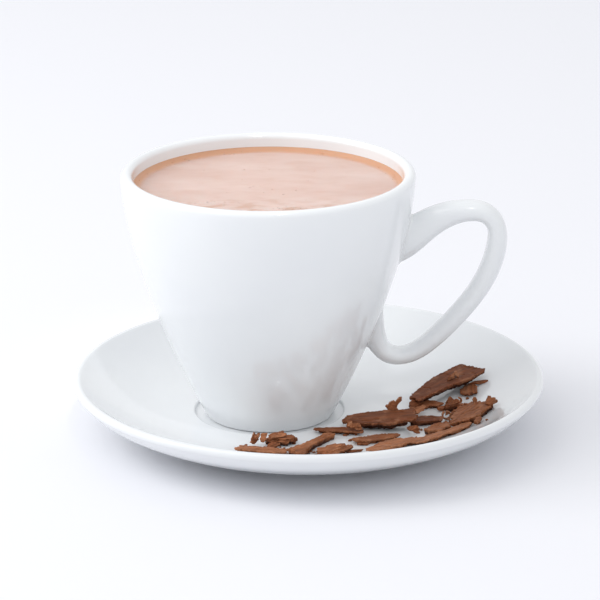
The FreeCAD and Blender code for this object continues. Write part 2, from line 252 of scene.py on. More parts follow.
def glazed_porcelain(name, bare_below):
    """White porcelain under a clear glaze that lies slightly uneven, bare below a height."""
    material, tree, shader = new_material(name, IOR=1.5, Coat_Weight=0.5, Coat_Roughness=0.04,
                                          Coat_IOR=1.5)
    place = add_node(tree, "ShaderNodeTexCoord").outputs["Object"]
    height = add_node(tree, "ShaderNodeSeparateXYZ", {"Vector": place}).outputs["Z"]
    cloud = add_node(tree, "ShaderNodeTexNoise",
                     {"Vector": place, "Scale": 38.0, "Detail": 3.0}).outputs["Fac"]
    ragged = add_node(tree, "ShaderNodeTexNoise",
                      {"Vector": place, "Scale": 700.0, "Detail": 4.0}).outputs["Fac"]
    line = calculated(tree, "ADD", height, calculated(tree, "MULTIPLY", ragged, GLAZE_RAGGED))
    glazed = share_between(tree, line, bare_below + GLAZE_BARE, bare_below + GLAZE_FULL)
    body = colour_ramp(tree, cloud, [(0.3, GLAZE_DEEP), (0.7, GLAZE_LIGHT)])
    link(tree, mixed(tree, glazed, BISCUIT, body), shader.inputs["Base Color"])
    rough = add_node(tree, "ShaderNodeMapRange",
                     {"Value": glazed, "To Min": 0.8, "To Max": 0.16}).outputs["Result"]
    link(tree, rough, shader.inputs["Roughness"])
    wave = add_node(tree, "ShaderNodeTexNoise",
                    {"Vector": place, "Scale": 120.0, "Detail": 2.0}).outputs["Fac"]
    grit = add_node(tree, "ShaderNodeMapRange",
                    {"Value": glazed, "To Min": 1.0, "To Max": 0.0}).outputs["Result"]
    relief = calculated(tree, "ADD", wave, calculated(tree, "MULTIPLY", grit, ragged))
    bump = add_node(tree, "ShaderNodeBump",
                    {"Strength": 0.35, "Distance": GLAZE_WAVE, "Height": relief})
    link(tree, bump.outputs["Normal"], shader.inputs["Normal"])
    return material


def glazed_saucer():
    """Spins well and plate together, then moves the well along the flat floor to its place."""
    bm = bmesh.new()
    turn(bm, well_profile() + plate_profile())
    close_up(bm)
    reach = WELL_RADIUS + 1.4 * WELL_EDGE
    well = [vert for vert in bm.verts if vert.co.z > WELL_FLOOR / 2
            and vert.co.xy.length < reach]
    bmesh.ops.translate(bm, vec=CUP_AXIS, verts=well)
    finish_piece("glazed_saucer", bm, glazed_porcelain("saucer_glaze", 0),
                 ["saucer"])


glazed_saucer()

# ==== cup ==================================================================================
# A slip-cast porcelain cup that flares from its foot to a rounded lip. The handle is cast apart,
# stuck on with slip and fired with the body, so it runs into the wall in a soft fillet.
CUP_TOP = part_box("cup")[1].z
CUP_HEIGHT = CUP_TOP - WELL_FLOOR
CUP_RIM_RADIUS = 47.0 * MM
CUP_BASE_RADIUS = 20.6 * MM
CUP_FLARE = 1.55
CUP_WALL = 3.8 * MM
CUP_BOTTOM = 6.4 * MM        # foot to the inside of the bottom
CUP_FOOT_RADIUS = 20.0 * MM
CUP_FOOT_WIDTH = 2.8 * MM
CUP_FOOT_HOLLOW = 1.4 * MM
CUP_FOOT_EDGE = 0.5 * MM
CUP_INNER_CORNER = 9.0 * MM
INNER_WALL_START = CUP_BOTTOM + CUP_INNER_CORNER * 0.45
HANDLE_THICKNESS = 6.3 * MM
HANDLE_WIDTH = 9.4 * MM
HANDLE_FILLET = 1.1 * MM
HANDLE_ROOT_DEPTH = 2.0 * MM  # how far its ends are sunk into the wall
HANDLE_SQUARENESS = 0.88      # 1 gives an ellipse, less a fuller oval
HANDLE_SIDES = 36
HANDLE_STEPS = 8              # rings from one station to the next
# The handle from its upper root to its lower one. Each row: its middle's distance in millimetres
# from the body's wall, its height as a share of the cup's, its thickness as a multiple of
# HANDLE_THICKNESS, and the angle of the line from its inner to its outer side.
HANDLE_STATIONS = [
    (-2.7, 0.700, 2.65, 77),
    (0.0, 0.717, 2.48, 78),
    (2.7, 0.735, 2.34, 83),
    (5.2, 0.762, 2.00, 89),
    (8.5, 0.796, 1.55, 94),
    (11.7, 0.817, 1.33, 95),
    (14.7, 0.829, 1.16, 93),
    (17.9, 0.835, 1.06, 89),
    (21.7, 0.834, 1.02, 81),
    (24.9, 0.818, 1.00, 65),
    (28.1, 0.779, 1.05, 38),
    (29.9, 0.717, 1.10, 8),
    (30.4, 0.630, 1.08, -13),
    (29.6, 0.549, 1.04, -28),
    (28.1, 0.481, 0.98, -36),
    (24.6, 0.384, 0.97, -43),
    (20.3, 0.294, 0.91, -50),
    (17.0, 0.250, 0.87, -65),
    (13.3, 0.233, 0.85, -85),
    (9.8, 0.235, 0.89, -104),
    (6.5, 0.254, 0.97, -120),
    (3.6, 0.289, 1.17, -128),
    (0.8, 0.333, 1.52, -130),
    (-1.7, 0.383, 1.83, -130),
    (-4.7, 0.444, 1.97, -127),
]


def body_radius(height):
    """Outer radius of the cup's body at a height above its foot."""
    share = min(max(height / (CUP_HEIGHT - CUP_WALL / 2), 0), 1)
    return CUP_BASE_RADIUS + (CUP_RIM_RADIUS - CUP_BASE_RADIUS) * (1 - (1 - share) ** CUP_FLARE)


def wall_lean(height):
    """The angle by which the wall leans out from upright."""
    step = 0.05 * MM
    return math.atan((body_radius(height + step) - body_radius(height - step)) / (2 * step))


def wall(inset, low, high, count):
    """(r, z) points up the wall, inset from its outer face, heights above the foot."""
    points = []
    for i in range(count + 1):
        height = low + (high - low) * i / count
        lean = wall_lean(height)
        points.append((body_radius(height) - inset * math.cos(lean),
                       height + inset * math.sin(lean)))
    return points


def inside_profile(inset, bottom, high):
    """From the axis along the bottom, round the corner and up the wall's inner face."""
    side = wall(inset, INNER_WALL_START, high, 40)
    rise = Vector(side[1]) - Vector(side[0])
    rise.normalize()
    flat = (side[0][0] - CUP_INNER_CORNER, bottom)
    return ([(0, bottom), (flat[0] / 2, bottom)]
            + sweep(flat, (1, 0), tuple(rise), side[0], 12) + side[1:])


def lifted(profile, height):
    return [(r, z + height) for r, z in profile]


def body_profile():
    """From the axis under the foot, out and up to the lip, over it and down inside."""
    foot_in = CUP_FOOT_RADIUS - CUP_FOOT_WIDTH
    edge = CUP_FOOT_EDGE
    lip = CUP_WALL / 2
    side = wall(0, 2 * edge, CUP_HEIGHT - lip, 60)
    rise = Vector(side[1]) - Vector(side[0])
    rise.normalize()
    return ([(0, CUP_FOOT_HOLLOW), (foot_in * 0.6, CUP_FOOT_HOLLOW)]
            + sweep((foot_in - 2 * edge, CUP_FOOT_HOLLOW), (1, 0), (0, -1),
                    (foot_in, edge), 6)
            + arc((foot_in + edge, edge), edge, 180, 270, 5)[1:]
            + sweep((CUP_FOOT_RADIUS - edge, 0), (1, 0), tuple(rise), side[0], 8)
            + side[1:]
            + arc((CUP_RIM_RADIUS - lip, CUP_HEIGHT - lip), lip, 0, 180, 20)[1:]
            + inside_profile(CUP_WALL, CUP_BOTTOM, CUP_HEIGHT - lip)[::-1][1:])


def spline_weights(t):
    """Shares of four stations in a row at a place t from the second to the third."""
    return ((1 - t) ** 3 / 6, (3 * t ** 3 - 6 * t ** 2 + 4) / 6,
            (-3 * t ** 3 + 3 * t ** 2 + 3 * t + 1) / 6, t ** 3 / 6)


def handle_rings():
    """Middle and half-thickness vector of each ring along the handle."""
    stations = []
    for out, share, thick, angle in HANDLE_STATIONS:
        height = share * CUP_HEIGHT
        middle = CUP_AXIS + Vector((body_radius(height) + out * MM, 0, WELL_FLOOR + height))
        outward = Vector((math.cos(math.radians(angle)), 0, math.sin(math.radians(angle))))
        stations.append((middle, outward * (HANDLE_THICKNESS * thick / 2)))
    stations = [stations[0]] + stations + [stations[-1]]
    rings = []
    for i in range(len(stations) - 3):
        for step in range(HANDLE_STEPS):
            weights = spline_weights(step / HANDLE_STEPS)
            near = stations[i:i + 4]
            rings.append(tuple(sum((w * s[k] for w, s in zip(weights, near)), Vector())
                               for k in (0, 1)))
    return rings


def ring_matrix(middle, thick):
    """Lays a flat unit circle on a ring: its X along the thickness, its Y across the bar."""
    across = Vector((0, HANDLE_WIDTH / 2, 0))
    normal = thick.cross(across).normalized()
    return Matrix((thick, across, normal)).transposed().to_4x4() + Matrix(
        [(0, 0, 0, middle.x), (0, 0, 0, middle.y), (0, 0, 0, middle.z), (0, 0, 0, 0)])


def out_of_wall(point):
    """Distance from the body's outer face, and the outward direction, level."""
    level = Vector((point.x - CUP_AXIS.x, point.y, 0))
    height = point.z - WELL_FLOOR
    return ((level.length - body_radius(height)) * math.cos(wall_lean(height)),
            level.normalized())


def add_handle(bm):
    """Pulls an oval along the handle ring by ring, then flares its ends into the wall."""
    ring = bmesh.ops.create_circle(bm, cap_ends=False, segments=HANDLE_SIDES, radius=1)["verts"]
    for vert in ring:
        vert.co = Vector([math.copysign(abs(value) ** HANDLE_SQUARENESS, value)
                          for value in vert.co])
    edges = list({edge for vert in ring for edge in vert.link_edges})
    placed = None
    rows = []
    for middle, thick in handle_rings():
        matrix = ring_matrix(middle, thick)
        if placed is not None:
            grown = bmesh.ops.extrude_edge_only(bm, edges=edges)["geom"]
            ring = [item for item in grown if isinstance(item, bmesh.types.BMVert)]
            edges = [item for item in grown if isinstance(item, bmesh.types.BMEdge)]
        step = matrix if placed is None else matrix @ placed.inverted()
        bmesh.ops.transform(bm, matrix=step, verts=ring)
        placed = matrix
        rows.append((ring, middle))
    for ring, middle in rows:
        for vert in ring:
            gap, _ = out_of_wall(vert.co)
            near = max(1 - max(gap, 0) / HANDLE_FILLET, 0)
            flare = HANDLE_FILLET * (1 - math.sqrt(1 - near ** 2))
            vert.co += (vert.co - middle).normalized() * flare
            gap, outward = out_of_wall(vert.co)
            vert.co += outward * max(-HANDLE_ROOT_DEPTH - gap, 0)
    ends = [edge for edge in bm.edges if len(edge.link_faces) == 1]
    bmesh.ops.holes_fill(bm, edges=ends, sides=0)


def glazed_cup():
    bm = bmesh.new()
    turn(bm, lifted(body_profile(), WELL_FLOOR), CUP_AXIS)
    bmesh.ops.remove_doubles(bm, verts=bm.verts, dist=TOUCHING)
    add_handle(bm)
    close_up(bm)
    finish_piece("glazed_cup", bm, glazed_porcelain("cup_glaze", WELL_FLOOR),
                 ["cup"])


glazed_cup()

# ==== hot chocolate ========================================================================
# Milk whisked with cocoa, poured to just under the lip. It creeps up the wall in a thin darker
# line, carries a faint skin with streaks, and keeps small bubbles where it was whisked last.
DRINK_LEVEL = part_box("hot_chocolate")[1].z
DRINK_INTO_WALL = 0.3 * MM
CREEP_HEIGHT = 1.5 * MM       # the edge stands this much above the middle
CREEP_WIDTH = 2.4 * MM
CREEP_FALL = 2.2              # how steeply the creeping edge falls away
CREEP_STEPS = 14
SKIN_STEPS = 96
STREAKS_START = -8 * MM       # the skin is streaked in front of this
STREAKS_DEPTH = 22 * MM       # and fully so this much further on
SKIN_WAVE = 0.05 * MM
COCOA_MILK = (0.600, 0.418, 0.357)
COCOA_PALE = (0.665, 0.510, 0.455)
COCOA_DEEP = (0.520, 0.300, 0.205)
COCOA_RING = (0.625, 0.340, 0.210)
DRINK_EDGE = DRINK_LEVEL - WELL_FLOOR
DRINK_FLAT = DRINK_EDGE - CREEP_HEIGHT


def radius_inside(height):
    """Radius of the cup's inner face at a height above its foot."""
    lean = wall_lean(height)
    return body_radius(height - CUP_WALL * math.sin(lean)) - CUP_WALL * math.cos(lean)


def drink_profile():
    """From the axis under the drink up inside the wall, over the creeping edge, and back."""
    sunk = wall(CUP_WALL - DRINK_INTO_WALL, INNER_WALL_START, DRINK_EDGE, 30)
    bottom = CUP_BOTTOM - DRINK_INTO_WALL
    rise = (Vector(sunk[1]) - Vector(sunk[0])).normalized()
    flat = (sunk[0][0] - CUP_INNER_CORNER, bottom)
    below = ([(0, bottom)] + sweep(flat, (1, 0), tuple(rise), sunk[0], 10)
             + [point for point in sunk[1:] if point[1] < DRINK_FLAT])
    edge = radius_inside(DRINK_EDGE)
    top = [(edge + DRINK_INTO_WALL, DRINK_EDGE)]
    for i in range(CREEP_STEPS + 1):
        share = i / CREEP_STEPS
        top.append((edge - CREEP_WIDTH * share,
                    DRINK_FLAT + CREEP_HEIGHT * (1 - share) ** CREEP_FALL))
    start = top[-1][0]
    top += [(start * (1 - i / SKIN_STEPS), DRINK_FLAT) for i in range(1, SKIN_STEPS + 1)]
    return below + top


def streaks(x, y):
    """How strongly the skin is wrinkled at a place: most at the front, in lines along X."""
    drift = noise.noise(Vector((x * 60, y * 60, 3)))
    lines = noise.fractal(Vector((x * 130, (y + drift * 2 * MM) * 620, 0)), 1.0, 2.0, 3)
    return max(min(lines, 1), -1)


def cocoa_milk():
    """Milky cocoa: light passes a little way in, the skin is satin, the edge is darker."""
    material, tree, shader = new_material("cocoa_milk", IOR=1.36, Subsurface_Weight=0.35,
                                          Subsurface_Scale=1.5 * MM,
                                          Subsurface_Radius=(1.0, 0.55, 0.4))
    place = add_node(tree, "ShaderNodeTexCoord").outputs["Object"]
    centred = add_node(tree, "ShaderNodeMapping",
                       {"Vector": place, "Location": tuple(-CUP_AXIS)}).outputs["Vector"]
    parts = add_node(tree, "ShaderNodeSeparateXYZ", {"Vector": centred}).outputs
    flat = add_node(tree, "ShaderNodeCombineXYZ", {"X": parts["X"], "Y": parts["Y"]})
    radius = add_node(tree, "ShaderNodeVectorMath", {0: flat.outputs["Vector"]},
                      operation="LENGTH").outputs["Value"]
    wobble = add_node(tree, "ShaderNodeTexNoise",
                      {"Vector": centred, "Scale": 110.0, "Detail": 3.0}).outputs["Fac"]
    stretched = add_node(tree, "ShaderNodeMapping",
                         {"Vector": centred, "Scale": (0.5, 1.0, 1.0),
                          "Rotation": (0, 0, math.radians(4))}).outputs["Vector"]
    streak = add_node(tree, "ShaderNodeTexNoise",
                      {"Vector": stretched, "Scale": 260.0, "Detail": 5.0,
                       "Distortion": 0.6}).outputs["Fac"]
    cloud = add_node(tree, "ShaderNodeTexNoise",
                     {"Vector": stretched, "Scale": 90.0, "Detail": 2.0}).outputs["Fac"]
    calm = colour_ramp(tree, cloud, [(0.3, COCOA_MILK), (0.72, COCOA_PALE)])
    lined = colour_ramp(tree, streak, [(0.36, COCOA_DEEP), (0.47, COCOA_MILK),
                                       (0.60, COCOA_PALE)])
    front = share_between(tree, parts["Y"], STREAKS_START, STREAKS_START - STREAKS_DEPTH)
    half = calculated(tree, "MULTIPLY", front, 0.75)
    weak = calculated(tree, "ADD", half, 0.18)
    skin = mixed(tree, weak, calm, lined)
    edge = radius_inside(DRINK_EDGE)
    reach = calculated(tree, "ADD", radius, calculated(tree, "MULTIPLY", wobble, 1.2 * MM))
    ring = share_between(tree, reach, edge - 2.5 * MM, edge - 0.3 * MM)
    link(tree, mixed(tree, ring, skin, COCOA_RING), shader.inputs["Base Color"])
    rough = add_node(tree, "ShaderNodeMapRange",
                     {"Value": streak, "To Min": 0.3, "To Max": 0.52}).outputs["Result"]
    link(tree, rough, shader.inputs["Roughness"])
    bump = add_node(tree, "ShaderNodeBump",
                    {"Strength": 0.5, "Distance": 0.06 * MM, "Height": streak})
    link(tree, bump.outputs["Normal"], shader.inputs["Normal"])
    return material


def drink(material):
    """Spins the drink and ruffles its skin, calm at the edge and streaked at the front."""
    bm = bmesh.new()
    turn(bm, lifted(drink_profile(), WELL_FLOOR), CUP_AXIS)
    close_up(bm)
    edge = radius_inside(DRINK_EDGE)
    for vert in bm.verts:
        away = edge - (vert.co - CUP_AXIS).xy.length
        if vert.co.z < WELL_FLOOR + DRINK_FLAT - 0.01 * MM or away < 0.2 * MM:
            continue
        x, y = vert.co.x, vert.co.y
        calm = min(away / (3 * MM), 1)
        forward = min(max((STREAKS_START - y) / STREAKS_DEPTH, 0), 1)
        vert.co.z += calm * (SKIN_WAVE * noise.noise(Vector((x * 95, y * 160, 0)))
                             + (0.02 + 0.07 * forward) * MM * streaks(x, y))
    finish_piece("cocoa_drink", bm, material, ["hot_chocolate"])


def add_bubble(bm, place, size, flatness):
    made = bmesh.ops.create_uvsphere(bm, u_segments=8, v_segments=5, radius=size)["verts"]
    bmesh.ops.scale(bm, vec=(1.1, 1, flatness), verts=made)
    bmesh.ops.translate(bm, vec=place, verts=made)


def bubbles(material):
    """Small domes in loose strings, most of them at the front of the skin and at its edge."""
    rng = random.Random(11)
    edge = radius_inside(DRINK_EDGE)
    level = WELL_FLOOR + DRINK_FLAT
    # Each row: x, y, length and half width of a string in millimetres, and its bubbles.
    strings = [(-24, -27, 9, 1.4, 44), (-12, -31, 12, 1.8, 60), (4, -33, 10, 1.5, 50),
               (14, -27, 8, 1.2, 30), (-30, -17, 7, 1.2, 16), (-4, -23, 9, 0.9, 22),
               (22, -20, 6, 1.5, 12), (-8, 6, 26, 16, 26)]
    bm = bmesh.new()
    for x, y, long, wide, count in strings:
        for _ in range(count):
            place = Vector((rng.gauss(x, long / 2) * MM, rng.gauss(y, wide) * MM, level))
            size = rng.uniform(0.12, 0.30) * MM * (1.7 if rng.random() < 0.08 else 1)
            if (place - CUP_AXIS).xy.length < edge - CREEP_WIDTH:
                add_bubble(bm, place, size, 0.55)
    for _ in range(90):
        angle = rng.uniform(0, 2 * math.pi)
        share = rng.uniform(0.3, 0.95)
        reach = edge - CREEP_WIDTH * share
        place = CUP_AXIS + Vector((math.cos(angle) * reach, math.sin(angle) * reach,
                                   level + CREEP_HEIGHT * (1 - share) ** CREEP_FALL))
        add_bubble(bm, place, rng.uniform(0.12, 0.28) * MM, 0.7)
    bmesh.ops.recalc_face_normals(bm, faces=bm.faces)
    finish_piece("bubbles", bm, material)


cocoa = cocoa_milk()
drink(cocoa)
bubbles(cocoa)

# ==== chocolate flakes =====================================================================
# Shards broken from thin sheets of milk chocolate. A shard is one to three thin leaves that
# cling together: its face keeps the scraper's long grain, its edges are snapped and splintered.
SHARD_DETAIL = 0.21 * MM
FACE_GRAIN = 0.06 * MM       # depth of the scraper's lines
OUTLINE_STEP = 0.3 * MM
LONG_BITE = 2.8 * MM         # lengths of the bites out of a rim
SPIKE_BITE = 1.6 * MM
SHORT_BITE = 0.7 * MM
TOP_LEAF = 0.4               # thickness of the top leaf as a share of the shard's
LOWER_TOP = 0.32             # how far down the next leaf starts, as a share of it
LOWER_DEPTH = 0.68           # the share of it that the lower leaves fill
LOWER_SIZES = (0.76, 0.88)   # a lower leaf's outline against the top one's
THREE_STEPPED = 1.18         # how much more a shard of three leaves is stepped
LEAF_SLIDE = 0.5             # millimetres that a lower leaf is shifted
SHUT_IN_DEPTH = 1.8 * MM     # below this a break is fully in shade
# How much painted shade falls deep under a shard's top.
FLAKE_SHADE = 0.55
LAYERING = 0.20 * MM         # relief of the layers that show in a broken side
SIDE_LUMPS = 0.10 * MM
FACE_CHIP = 0.16 * MM        # depth of the thin chips off a face
# Next: the near black of the painted shade deep under a shard's top, not a darker chocolate.
CHOCOLATE_PAINTED_SHADE = (0.030, 0.0090, 0.0050)
CHOCOLATE_FACE = (0.170, 0.0590, 0.0220)
# Pale bloom and snapped edges, and the painted highlight on upper rims.
CHOCOLATE_PALE_AND_HIGHLIGHT = (0.560, 0.2700, 0.1450)


def milk_chocolate(name, tone):
    """Milk chocolate. The piece's own attributes give its grain's direction, its breaks, and where
    shade and highlight are painted.
    """
    material, tree, shader = new_material(name, IOR=1.46)
    shader.inputs["Specular IOR Level"].default_value = 0.12
    grain = add_node(tree, "ShaderNodeAttribute", attribute_name="grain").outputs["Vector"]
    break_and_painted_light = add_node(tree, "ShaderNodeAttribute", attribute_name="break_and_painted_light").outputs["Fac"]
    lines = add_node(tree, "ShaderNodeMapping",
                     {"Vector": grain, "Scale": (0.12, 1.0, 0.6)}).outputs["Vector"]
    fine = add_node(tree, "ShaderNodeTexNoise",
                    {"Vector": lines, "Scale": 1300.0, "Detail": 5.0,
                     "Roughness": 0.65}).outputs["Fac"]
    patch = add_node(tree, "ShaderNodeTexNoise",
                     {"Vector": grain, "Scale": 260.0, "Detail": 4.0}).outputs["Fac"]
    crumb = add_node(tree, "ShaderNodeTexNoise",
                     {"Vector": grain, "Scale": 1900.0, "Detail": 3.0}).outputs["Fac"]
    face = [c * (0.86 + 1.15 * tone) for c in CHOCOLATE_FACE]
    face[1] *= 0.88 + 0.30 * tone
    face[2] *= 1.05 + 0.5 * tone ** 2
    worn = [c * 1.55 for c in face]
    deep = [c * 0.52 for c in face]
    surface = colour_ramp(tree, fine, [(0.3, deep), (0.5, face), (0.72, worn)])
    dusty = calculated(tree, "MULTIPLY", share_between(tree, patch, 0.5, 0.72), 0.3)
    surface = mixed(tree, dusty, surface, CHOCOLATE_PALE_AND_HIGHLIGHT)
    # Pale snapped edges in crumbly flecks, which on the upper rims are a painted highlight too.
    pale = calculated(tree, "MULTIPLY", share_between(tree, break_and_painted_light, 0.55, 1.0),
                      share_between(tree, crumb, 0.32, 0.62))
    surface = mixed(tree, calculated(tree, "MULTIPLY", pale, 0.8), surface, CHOCOLATE_PALE_AND_HIGHLIGHT)
    # Painted shade: low values turn the colour almost to the near-black shade colour.
    painted_shade = share_between(tree, break_and_painted_light, 0.42, 0.05)
    surface = mixed(tree, calculated(tree, "MULTIPLY", painted_shade, 0.9), surface, CHOCOLATE_PAINTED_SHADE)
    link(tree, surface, shader.inputs["Base Color"])
    rough = add_node(tree, "ShaderNodeMapRange",
                     {"Value": fine, "To Min": 0.42, "To Max": 0.72}).outputs["Result"]
    link(tree, rough, shader.inputs["Roughness"])
    bump = add_node(tree, "ShaderNodeBump",
                    {"Strength": 0.8, "Distance": 0.12 * MM, "Height": fine})
    link(tree, bump.outputs["Normal"], shader.inputs["Normal"])
    return material


def top_face(source):
    """The corners of a CAD shard's top face in order, the way it faces, and its thickness."""
    bm = bmesh.new()
    bm.from_mesh(source.data)
    bmesh.ops.remove_doubles(bm, verts=bm.verts, dist=TOUCHING)
    bmesh.ops.dissolve_limit(bm, angle_limit=math.radians(1), verts=bm.verts, edges=bm.edges)
    top = max((face for face in bm.faces if face.normal.z > 0.5), key=lambda f: f.calc_area())
    off = top.normal.copy()
    corners = [vert.co.copy() for vert in top.verts]
    heights = [vert.co.dot(off) for vert in bm.verts]
    bm.free()
    return corners, off, corners[0].dot(off) - min(heights)


def directions(corners, off):
    """A shard's middle and its directions along its length and across it."""
    middle = sum(corners, Vector()) / len(corners)
    far = max(corners, key=lambda c: (c - middle).length)
    along = (far - middle) - off * (far - middle).dot(off)
    spread = [c - middle for c in corners]
    for _ in range(8):
        along = sum((c * c.dot(along) for c in spread), Vector()).normalized()
    return middle, along, off.cross(along)


def spiky(place, size):
    """Noise with narrow peaks up to 1, about a size apart."""
    return (1 - abs(noise.noise(place / size)) * 2.2) ** 3


def add_leaf(bm, corners, off, along, thickness, ragged, seed, undercut, grow=0, forward=0):
    """A thin sheet under an outline: its rim is snapped ragged, most of all across the grain,
    and undercut. It is grown outward by a length, and further where it faces the front."""
    middle = sum(corners, Vector()) / len(corners)
    outline = []
    for start, end in zip(corners, corners[1:] + corners[:1]):
        cuts = max(int((end - start).length / OUTLINE_STEP), 1)
        outline += [start.lerp(end, i / cuts) for i in range(cuts)]
    shift = Vector((seed * 0.0137, seed * 0.0071, seed * 0.0113))
    loop = []
    for i, point in enumerate(outline):
        beside = outline[(i + 2) % len(outline)] - outline[i - 2]
        outward = beside.cross(off).normalized()
        across_grain = 0.4 + 0.6 * abs(outward.dot(along))
        place = point + shift
        bite = (0.90 * noise.noise(place / LONG_BITE) + 0.70 * spiky(place, SPIKE_BITE) - 0.22
                + 0.34 * noise.noise(place / SHORT_BITE))
        wider = grow + forward * max(-outward.y, 0)
        loop.append(bm.verts.new(point + outward * (ragged * across_grain * bite + wider)))
    face = bm.faces.new(loop)
    if face.normal.dot(off) < 0:
        face.normal_flip()
    grown = bmesh.ops.extrude_face_region(bm, geom=[face])["geom"]
    under = [item for item in grown if isinstance(item, bmesh.types.BMVert)]
    for vert in under:
        inward = middle - vert.co
        inward -= off * inward.dot(off)
        rough = 0.6 + 0.8 * abs(noise.noise((vert.co + shift) / (1.1 * MM)))
        vert.co += inward.normalized() * min(undercut * rough, inward.length * 0.8)
        vert.co -= off * thickness


def leaves(corners, off, thickness, layers, ragged, grow, forward, seed):
    """A bmesh of a shard's leaves from the top down, each with its own ragged rim. The top
    leaf is thin and widest, so that its rim overhangs the others."""
    middle, along, across = directions(corners, off)
    rng = random.Random(seed)
    bm = bmesh.new()
    stepped = THREE_STEPPED if layers == 3 else 1
    slide = LEAF_SLIDE * stepped ** 4 * MM
    deep = thickness * LOWER_DEPTH / max(layers - 1, 1)
    for layer in range(layers):
        if layer == 0:
            share = 2 - stepped
            drop = 0
            thick = thickness if layers == 1 else thickness * TOP_LEAF
        else:
            share = rng.uniform(*LOWER_SIZES) * stepped
            drop = thickness * LOWER_TOP + deep * (layer - 1)
            thick = deep * 1.05
        slip = along * rng.uniform(-slide, slide) + across * rng.uniform(-slide, slide)
        rim = [middle + (corner - middle) * share - off * drop + slip * min(layer, 1)
               for corner in corners]
        add_leaf(bm, rim, off, along, thick, ragged, seed * 7 + layer, 0.3 * thick,
                 grow, forward if layer == 0 else forward * 0.2)
    bmesh.ops.recalc_face_normals(bm, faces=bm.faces)
    return bm, middle, along, across


def joined_evenly(bm, size):
    """Melts overlapping closed shapes into one, with an even mesh."""
    mesh = bpy.data.meshes.new("melt")
    bm.to_mesh(mesh)
    bm.free()
    carrier = bpy.data.objects.new("melt", mesh)
    bpy.context.scene.collection.objects.link(carrier)
    even = carrier.modifiers.new("even", "REMESH")
    even.mode = "VOXEL"
    even.voxel_size = size
    shaped = carrier.evaluated_get(bpy.context.evaluated_depsgraph_get())
    result = bmesh.new()
    result.from_mesh(shaped.to_mesh())
    shaped.to_mesh_clear()
    bpy.data.objects.remove(carrier)
    return result


def weather(bm, middle, along, across, off, lumpy, seed, shade=FLAKE_SHADE):
    """Scrapes the faces, roughens the rims, and notes the grain and where it snapped. Its upper
    rims are marked paler as a painted highlight, and what lies deep under the top is
    marked dark by a shade, as painted shade."""
    grain_layer = bm.verts.layers.float_vector.new("grain")
    break_and_painted_light_layer = bm.verts.layers.float.new("break_and_painted_light")
    bm.normal_update()
    shift = Vector((seed * 7.3, seed * 3.1, seed * 1.7)) * MM
    top = max((vert.co - middle).dot(off) for vert in bm.verts)
    moves = []
    for vert in bm.verts:
        local = Vector([(vert.co - middle).dot(axis) for axis in (along, across, off)])
        place = local + shift
        facing = vert.normal.dot(off)
        side = min(max((0.75 - abs(facing)) / 0.5, 0), 1)
        lines = noise.noise(Vector((place.x * 0.14, place.y, place.z * 0.5)) / (0.55 * MM))
        strata = noise.noise(Vector((place.x * 0.3, place.y * 0.3, place.z * 2.0)) / (0.7 * MM))
        lump = noise.noise(place / (2.2 * MM)) + 0.5 * noise.noise(place / (0.9 * MM))
        chipped = FACE_CHIP if noise.noise(place / LONG_BITE) > 0.30 else 0
        flat_move = FACE_GRAIN * lines + lumpy * MM * 0.5 * lump - chipped
        side_move = LAYERING * strata + SIDE_LUMPS * lump
        moves.append(vert.normal * (flat_move * (1 - side) + side_move * side))
        vert[grain_layer] = place
        # Painted highlight: the upper rims, where the top rounds into a side, are made paler; this
        # also stands for their pale snapped edge.
        rim = 1 if 0.2 < side < 0.8 and facing > 0 else 0
        # Painted shade: the deeper a point lies under the top, the darker its tone, fully on sides
        # and undersides, half on faces.
        painted_shade_share = min(max((top - local.z) / SHUT_IN_DEPTH, 0), 1)
        tone = 0.5 + 0.16 * lines + 0.46 * rim + side * (0.30 * strata + 0.10)
        tone -= shade * painted_shade_share * (1 if side > 0.5 or facing < 0 else 0.5)
        vert[break_and_painted_light_layer] = min(max(tone, 0), 1)
    for vert, move in zip(bm.verts, moves):
        vert.co += move


def crisp(bm, degrees=40):
    """Keeps sharp creases sharp under smooth shading."""
    for edge in bm.edges:
        if len(edge.link_faces) == 2:
            edge.smooth = edge.calc_face_angle(0) < math.radians(degrees)


def shard(node, name, layers, ragged, lumpy, tone, grow, forward, seed):
    """Rebuilds one CAD shard from its top face, as leaves of snapped chocolate."""
    corners, off, thickness = top_face(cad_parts[node])
    bm, middle, along, across = leaves(corners, off, thickness, layers, ragged * MM, grow * MM,
                                       forward * MM, seed)
    bm = joined_evenly(bm, SHARD_DETAIL)
    weather(bm, middle, along, across, off, lumpy, seed)
    crisp(bm)
    finish_piece(name, bm, milk_chocolate("chocolate_" + name, tone),
                 [node])


